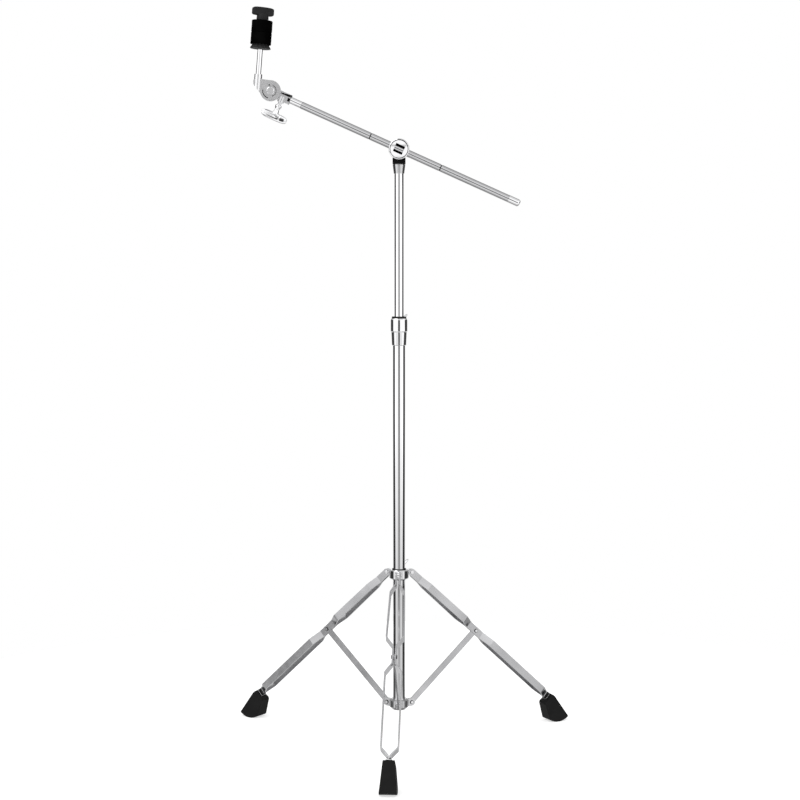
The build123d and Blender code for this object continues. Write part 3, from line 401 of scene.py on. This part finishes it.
def merged(shapes):
    """One mesh from (bmesh, matrix) pairs."""
    whole = bmesh.new()
    for shape, matrix in shapes:
        part = bpy.data.meshes.new("part")
        shape.transform(matrix)
        shape.to_mesh(part)
        shape.free()
        whole.from_mesh(part)
        bpy.data.meshes.remove(part)
    return whole


def cast(shapes, voxel, relax):
    """Overlapping shapes run together into one closed skin, as in a casting, then relaxed."""
    mesh = bpy.data.meshes.new("cast")
    whole = merged(shapes)
    whole.to_mesh(mesh)
    whole.free()
    holder = bpy.data.objects.new("cast", mesh)
    bpy.context.scene.collection.objects.link(holder)
    remesh = holder.modifiers.new("remesh", "REMESH")
    remesh.mode = "VOXEL"
    remesh.voxel_size = voxel
    smooth = holder.modifiers.new("smooth", "SMOOTH")
    smooth.factor = 0.5
    smooth.iterations = relax
    skin = bpy.data.meshes.new_from_object(holder.evaluated_get(bpy.context.evaluated_depsgraph_get()))
    made = bmesh.new()
    made.from_mesh(skin)
    bpy.data.objects.remove(holder)
    bpy.data.meshes.remove(mesh)
    bpy.data.meshes.remove(skin)
    return made


def finished(name, shape, node, matrix=None, slot=None):
    """Object from a bmesh that stands for a CAD node: it takes that node's body, slot and finish."""
    slot = slot or SLOTS[node]
    mesh = bpy.data.meshes.new(name)
    bmesh.ops.recalc_face_normals(shape, faces=shape.faces)
    shape.to_mesh(mesh)
    shape.free()
    if "custom_normal" in mesh.attributes:
        mesh.attributes.remove(mesh.attributes["custom_normal"])
    if matrix:
        mesh.transform(matrix)
    for polygon in mesh.polygons:
        polygon.use_smooth = True
    mesh.set_sharp_from_angle(angle=CREASE)
    # faces marked 1 take the painted shade material, a dark stand-in for shade in recesses
    for material in (slot, "painted_shade")[: 1 + max(polygon.material_index for polygon in mesh.polygons)]:
        mesh.materials.append(MATERIALS[material])
    piece = bpy.data.objects.new(name, mesh)
    bpy.context.scene.collection.objects.link(piece)
    normals = piece.modifiers.new("normals", "WEIGHTED_NORMAL")
    normals.keep_sharp = True
    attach(piece, BODIES[node])
    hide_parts(node)
    return piece


def welded(node):
    """Copy of a CAD node's mesh with its flat faces whole."""
    made = bmesh.new()
    made.from_mesh(frame["nodes"][node].data)
    bmesh.ops.remove_doubles(made, verts=made.verts, dist=WELD)
    bmesh.ops.dissolve_limit(made, angle_limit=FLAT, verts=made.verts, edges=made.edges)
    return made


def outer_edges(shape):
    return [edge for edge in shape.edges if len(edge.link_faces) == 2 and edge.calc_face_angle(0) > CORNER]


def eased(shape, edges, width, segments):
    """Round a mesh's edges over."""
    bmesh.ops.bevel(
        shape, geom=edges, offset=width, offset_type="OFFSET", segments=segments, profile=0.5,
        affect="EDGES", clamp_overlap=True,
    )


# ---- edges of the pressed and cast metal ------------------------------------------
EDGES = {                      # width of the rounding in mm, and its steps
    "height_clamp": (0.5, 2), "height_bushing": (0.6, 2), "leg_collar": (0.8, 3),
    "leg_collar_bushing": (0.4, 2), "lower_bracket": (0.8, 3), "brace_rivets": (0.9, 3),
    "collar_rivets": (0.9, 3), "tilter_base": (0.9, 3), "boom_drum": (0.5, 3), "tilter_washer": (0.4, 2),
    "tilt_housing": (0.9, 3), "tilt_arm": (0.6, 3), "tilt_pivot_bolt": (0.5, 2), "tilt_pivot_nut": (0.5, 2),
    "boom_ferrule": (0.3, 2), "cymbal_rod": (0.3, 2), "boom_tube": (0.2, 1),
}
SATIN = {"tilt_housing": "satin_casting"}     # nodes with another finish than the record's slot
LEGS = ("front", "right", "left")
for leg in LEGS:
    EDGES.update({
        f"{leg}_leg_strip_a": (0.6, 3), f"{leg}_leg_strip_b": (0.6, 3), f"{leg}_brace": (0.5, 3),
        f"{leg}_knee_rivet": (0.9, 3), f"{leg}_foot_lip": (0.3, 2),
    })


def apply_painted_shade(shape, in_painted_shade):
    """Faces whose middle is in a recess take painted shade: a near-black material standing in for shade and dark
    reflections.
    """
    for face in shape.faces:
        face.material_index = int(in_painted_shade(face.calc_center_median()))


def off_axis(place, joint, along=None):
    """Distance from a joint's axis, or from a line along another's through the same point."""
    offset = place - Vector(JOINTS[joint]["pos_m"])
    axis = direction(along or joint)
    return (offset - axis * offset.dot(axis)).length


SKIN = 0.15 * MM               # a face this far under a surface is in a recess, where shade is painted dark
RIVET_EYE = 3.1 * MM           # middle of a rivet's head that keeps its bright finish; the rim round it is painted dark as shade
DISC_R = 20 * MM               # tilting disc, inside its rim
ARM_FRONT = -38 * MM           # y of the disc's front face
DISC_SINK = 2 * MM
HOUSING_SLOTS = (              # slots painted dark as shade: middle along the boom and up from the pivot, width and height
    (-31.5 * MM, 5.2 * MM, 20 * MM, 2.2 * MM),
    (-41.5 * MM, -1.4 * MM, 6 * MM, 7 * MM),
)
HOUSING_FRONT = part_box("tilt_housing")[0][1]
# window in the drum whose faces are painted dark as shade
DRUM_WINDOW = (0, 0, 20 * MM, 18 * MM)
BOOM_R = 7.5 * MM
NECK_LOW, NECK_HIGH = 17 * MM, 29 * MM    # under the boom tilter's axis; the band between them is painted dark as shade
EAR_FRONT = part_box("tilter_washer")[1][1]


# rim of a rivet head round its bright middle, painted dark as shade
def in_rivet_rim(*joints):
    return lambda place: min(off_axis(place, joint) for joint in joints) > RIVET_EYE


def in_window(place, joint, x, y, width, height):
    """In a rectangle that lies along the boom, its middle x and y from a joint's pivot."""
    offset = place - Vector(JOINTS[joint]["pos_m"])
    along = direction("boom_slide")
    up = direction("boom_tilt").cross(along)
    return abs(offset.dot(along) - x) < width / 2 + SKIN and abs(offset.dot(up) - y) < height / 2 + SKIN


def in_arm_groove(place):
    """Arcs and dimple sunk in the front of the tilting disc, painted dark as shade."""
    return off_axis(place, "cymbal_tilt") < DISC_R and ARM_FRONT + SKIN < place.y < ARM_FRONT + DISC_SINK


# faces in the housing's slots, painted dark as shade
def in_housing_slot(place):
    in_slot = any(in_window(place, "cymbal_tilt", *slot) for slot in HOUSING_SLOTS)
    return in_slot and place.y > HOUSING_FRONT + SKIN


# faces in the drum's window, painted dark as shade
def in_drum_window(place):
    return in_window(place, "boom_tilt", *DRUM_WINDOW)


# faces in the boom's grooves, painted dark as shade
def in_boom_groove(place):
    return off_axis(place, "boom_tilt", "boom_slide") < BOOM_R - SKIN


def in_tilter_neck(place):
    """Painted shade round the neck between the socket's dome and the ear, and on the face that the washer rubs."""
    drop = JOINTS["boom_tilt"]["pos_m"][2] - place.z
    return drop < NECK_HIGH and (drop > NECK_LOW or place.y < EAR_FRONT + SKIN)


# for each node, the faces that are painted dark as shade
PAINTED_SHADE_MASKS = {
    "tilt_arm": in_arm_groove, "tilt_housing": in_housing_slot, "boom_drum": in_drum_window,
    "boom_tube": in_boom_groove, "tilter_base": in_tilter_neck,
    "brace_rivets": in_rivet_rim(*(f"{leg}_brace_fold" for leg in LEGS)),
}
for leg in LEGS:
    PAINTED_SHADE_MASKS[f"{leg}_knee_rivet"] = in_rivet_rim(f"{leg}_leg_fold")


def make_metalwork():
    """Copies of the metal nodes and their liners, with rounded edges and shade painted dark in their recesses."""
    for node, (width, segments) in EDGES.items():
        shape = welded(node)
        eased(shape, outer_edges(shape), width * MM, segments)
        if node in PAINTED_SHADE_MASKS:
            apply_painted_shade(shape, PAINTED_SHADE_MASKS[node])
        finished(f"{node}_eased", shape, node, slot=SATIN.get(node))


# ---- rubber feet -------------------------------------------------------------------
FOOT_VOXEL = 0.7 * MM
FOOT_RELAX = 7
PANEL_IN = 3.4 * MM
PANEL_STEP = 0.7 * MM
PANEL_DEPTH = 0.9 * MM


def make_foot(leg):
    """Moulded foot: a wedge with soft edges and a sunk panel on each side."""
    shape = welded(f"{leg}_foot")
    sides = sorted(shape.faces, key=lambda face: face.calc_area())[-2:]
    for inset, depth in ((PANEL_IN, 0), (PANEL_STEP, -PANEL_DEPTH)):
        bmesh.ops.inset_individual(shape, faces=sides, thickness=inset, depth=depth)
    moulded = cast([(shape, Matrix.Identity(4))], FOOT_VOXEL, FOOT_RELAX)
    finished(f"{leg}_foot_moulded", moulded, f"{leg}_foot")


# ---- wing handles --------------------------------------------------------------------
VOXEL = 0.45 * MM
RELAX = 4
WING_RISE = 12                 # degrees that each wing leans up
WAIST, COLLAR, CROWN = 0.72, 0.95, 0.7    # radii of the hub's waist, collar and top, of its foot's radius
STUD_R = 3.9 * MM
SEAT_GAP = 0.4 * MM            # between a hub and what it bears on


def make_wings(name, node, joint, hub, span, height, thick, side):
    """Cast butterfly handle on its stud: a waisted hub with two raised, rounded wings.

    The hub is (where it starts on the joint's axis, its radius, the stud's radius).
    """
    matrix = placed(JOINTS[joint]["pos_m"], JOINTS[joint]["axis"], side)
    tip, top, _ = extent(node, JOINTS[joint]["pos_m"], JOINTS[joint]["axis"])
    start, hub_r, stud_r = hub
    low = top - height
    shaft = revolved(
        rounded([
            (0, tip, 0), (stud_r, tip, 0), (stud_r, start, 0), (hub_r, start, 0.6 * MM),
            (hub_r, start + 2 * MM, 1 * MM), (hub_r * WAIST, (start + low) / 2, 1.5 * MM),
            (hub_r * COLLAR, low + height * 0.4, 1.5 * MM), (hub_r * CROWN, top - height * 0.25, 1 * MM),
            (0, top - height * 0.2, 0),
        ]),
        48,
    )
    shapes = [(shaft, Matrix.Identity(4))]
    for way in (1, -1):
        lobe = blob((span / 2 + hub_r * 0.6, thick, height * 0.92), 0.8)
        lean = Matrix.Rotation(-way * math.radians(WING_RISE), 4, "Y")
        middle = (way * (span / 4 - hub_r * 0.1), 0, low + height / 2)
        shapes.append((lobe, Matrix.Translation(middle) @ lean))
    finished(name, cast(shapes, VOXEL, RELAX), node, matrix)


def make_wing_handles():
    """Wing bolts of the height clamp and leg collar, and the wing nut behind the boom tilter."""
    cross = Vector((-0.68, 0, -0.73))
    for node, joint, seat in (
        ("height_wing_bolt", "height_bolt_turn", "height_clamp"),
        ("leg_collar_wing_bolt", "collar_bolt_turn", "leg_collar"),
    ):
        place, axis = JOINTS[joint]["pos_m"], JOINTS[joint]["axis"]
        start = extent(seat, place, axis)[1] + SEAT_GAP
        make_wings(f"{node}_cast", node, joint, (start, 6.8 * MM, STUD_R), 48 * MM, 12 * MM, 6 * MM, cross)
    joint = "tilter_nut_turn"
    start = extent("tilter_wing_nut", JOINTS[joint]["pos_m"], JOINTS[joint]["axis"])[0]
    hub = (start, 8 * MM, 8 * MM)
    side = -direction("boom_slide")
    make_wings("tilter_wing_nut_cast", "tilter_wing_nut", joint, hub, 56 * MM, 11 * MM, 6.5 * MM, side)


UNILOCK_VOXEL = 0.4 * MM
UNILOCK_WIDE, UNILOCK_THICK, UNILOCK_HIGH = 56 * MM, 10 * MM, 16.5 * MM
UNILOCK_GROOVE = 10.5 * MM     # from the middle to the groove across the wing's tail lobe
UNILOCK_GROOVE_HALF = 1 * MM
UNILOCK_FLUTE = 0.9 * MM       # depth of the flutes along the wing
UNILOCK_FLUTES = 2.5           # waves from the wing's lower edge to its top
UNILOCK_STEM_R = 7 * MM


def make_unilock_wing():
    """T-shaped wing of the cymbal tilter: a waisted neck, and a lens with flutes and one deep groove."""
    joint, node = "unilock_bolt_turn", "unilock_wing_bolt"
    place, axis = JOINTS[joint]["pos_m"], JOINTS[joint]["axis"]
    tip, top, _ = extent(node, place, axis)
    seat = extent("tilt_housing", place, axis)[1]
    start = seat + SEAT_GAP
    middle = top - UNILOCK_HIGH / 2
    wing = blob((UNILOCK_WIDE, UNILOCK_THICK, UNILOCK_HIGH), 0.6, 96)
    for vertex in wing.verts:
        x, y, z = vertex.co
        if x < UNILOCK_GROOVE - 4 * MM:
            flute = max(0, math.cos(z / UNILOCK_HIGH * 2 * math.pi * UNILOCK_FLUTES))
            fade = min(1, abs(x - 5 * MM) / (9 * MM))
            vertex.co.y -= math.copysign(UNILOCK_FLUTE * flute * fade, y)
        cut = max(0, 1 - abs(x - UNILOCK_GROOVE) / UNILOCK_GROOVE_HALF)
        vertex.co.y *= 1 - 0.35 * cut
        vertex.co.z *= 1 - 0.16 * cut
    neck = revolved(
        rounded([
            (0, tip, 0), (STUD_R, tip, 0), (STUD_R, start, 0), (UNILOCK_STEM_R, start, 0.4 * MM),
            (UNILOCK_STEM_R, seat + 3.5 * MM, 0.8 * MM), (4.4 * MM, seat + 10 * MM, 3 * MM),
            (7.2 * MM, middle - UNILOCK_HIGH * 0.3, 1 * MM), (0, middle, 0),
        ]),
        64,
    )
    shapes = [(wing, Matrix.Translation((0, 0, middle))), (neck, Matrix.Identity(4))]
    matrix = placed(place, axis, -direction("boom_slide"))
    finished("unilock_wing_bolt_cast", cast(shapes, UNILOCK_VOXEL, 1), node, matrix)


# ---- cymbal stack: seat, felts and wing nut ---------------------------------------------
STACK_FOOT = JOINTS["cymbal_nut_turn"]["pos_m"]
STACK_AXIS = JOINTS["cymbal_nut_turn"]["axis"]
STACK_SIDE = (1, 0, 0)
FELT_EDGE = 1.6 * MM           # radius of a felt's outer rims
FELT_FUZZ = 0.28 * MM
SLEEVE_GAP = 0.3 * MM


def make_felt(node):
    """Thick felt washer: softly rounded rims and an uneven, fibrous side."""
    low, high, reach = extent(node, STACK_FOOT, STACK_AXIS)
    hole = extent("cymbal_sleeve", STACK_FOOT, STACK_AXIS)[2] + SLEEVE_GAP
    corners = [
        (hole, low, FELT_EDGE / 2), (reach, low, FELT_EDGE),
        (reach, high, FELT_EDGE), (hole, high, FELT_EDGE / 2),
    ]

    def fuzz(angle, radius, height):
        if radius < hole + FELT_EDGE:
            return 0
        spot = Vector((math.cos(angle), math.sin(angle), height / reach))
        coarse = field.noise(spot * 3) + 0.6 * field.noise(spot * 14)
        return FELT_FUZZ * (coarse - 0.9) * radius / reach

    shape = revolved(divided(rounded(corners), 0.9 * MM), 144, fuzz)
    piece = finished(f"{node}_washer", shape, node, placed(STACK_FOOT, STACK_AXIS, STACK_SIDE))


SEAT_RIDGES = 14               # each way round
SEAT_RIDGE = 0.9 * MM
SEAT_TWIST = math.pi * 1.2     # how far a ridge runs round the skirt, in waves of its own
SEAT_BORE = 4.2 * MM
SEAT_NECK = 17.5 * MM


def make_seat():
    """Flared plastic seat with crossed helical ridges on its skirt."""
    low, high, reach = extent("cymbal_seat", STACK_FOOT, STACK_AXIS)
    corners = [
        (SEAT_BORE, low, 0.3 * MM), (reach - 0.8 * MM, low, 0.5 * MM), (reach, low + 1.2 * MM, 0.5 * MM),
        (SEAT_NECK, high - 1 * MM, 0.5 * MM), (SEAT_NECK, high, 0.4 * MM), (SEAT_BORE, high, 0.3 * MM),
    ]

    def ridges(angle, radius, height):
        if radius < SEAT_NECK - 0.2 * MM or height < low + 1 * MM:
            return 0
        turn = (height - low) / (high - low) * SEAT_TWIST
        crossing = max(math.cos(SEAT_RIDGES * angle + turn), math.cos(SEAT_RIDGES * angle - turn))
        return SEAT_RIDGE * (max(0, crossing) ** 2 - 1)

    shape = revolved(divided(rounded(corners), 0.7 * MM), 224, ridges)
    finished("cymbal_seat_moulded", shape, "cymbal_seat", placed(STACK_FOOT, STACK_AXIS, STACK_SIDE))


NUT_TURN = math.radians(20)    # from the way that the CAD's nut faces
NUT_VOXEL = 0.5 * MM
NUT_WIDE, NUT_THICK, NUT_HIGH = 45 * MM, 14.5 * MM, 17.2 * MM
NUT_NECK_R = 12.4 * MM
NUT_CROWN = 0.9 * MM           # how far the bar's top drops towards its ends
DIMPLE_DEPTH, DIMPLE_R = 1.6 * MM, 5.5 * MM
DIMPLE_OUT = 0.30              # of the bar's width, from its middle


def make_wing_nut():
    """Moulded T-shaped wing nut: round neck, crowned bar with a finger dimple in each face."""
    low, high, _ = extent("cymbal_wing_nut", STACK_FOOT, STACK_AXIS)
    bar_foot = high - NUT_HIGH
    bar = blob((NUT_WIDE, NUT_THICK, NUT_HIGH), 0.32, 64)
    for vertex in bar.verts:
        x, y, z = vertex.co
        dimple = math.exp(-((abs(x) - NUT_WIDE * DIMPLE_OUT) ** 2 + z * z) / DIMPLE_R ** 2)
        vertex.co.y -= math.copysign(DIMPLE_DEPTH * dimple, y)
        if z > 0:
            vertex.co.z -= NUT_CROWN * (2 * x / NUT_WIDE) ** 2
    neck = revolved(
        rounded([
            (0, low, 0), (NUT_NECK_R, low, 0.6 * MM), (NUT_NECK_R, low + 5 * MM, 1 * MM),
            (NUT_NECK_R * 0.94, bar_foot + 3 * MM, 1 * MM), (0, bar_foot + 5 * MM, 0),
        ]),
        72,
    )
    shapes = [(bar, Matrix.Translation((0, 0, high - NUT_HIGH / 2))), (neck, Matrix.Identity(4))]
    side = Matrix.Rotation(NUT_TURN, 3, Vector(STACK_AXIS)) @ Vector(STACK_SIDE)
    moulded = cast(shapes, NUT_VOXEL, 3)
    finished("cymbal_wing_nut_moulded", moulded, "cymbal_wing_nut", placed(STACK_FOOT, STACK_AXIS, side))


make_camera()
make_world()
make_floor()
make_key()
make_metals()
make_blacks()
dress_nodes()
make_metalwork()
for leg in LEGS:
    make_foot(leg)
make_wing_handles()
make_unilock_wing()
make_seat()
make_felt("lower_felt")
make_felt("upper_felt")
make_wing_nut()
bpy.context.scene.view_settings.view_transform = "Standard"
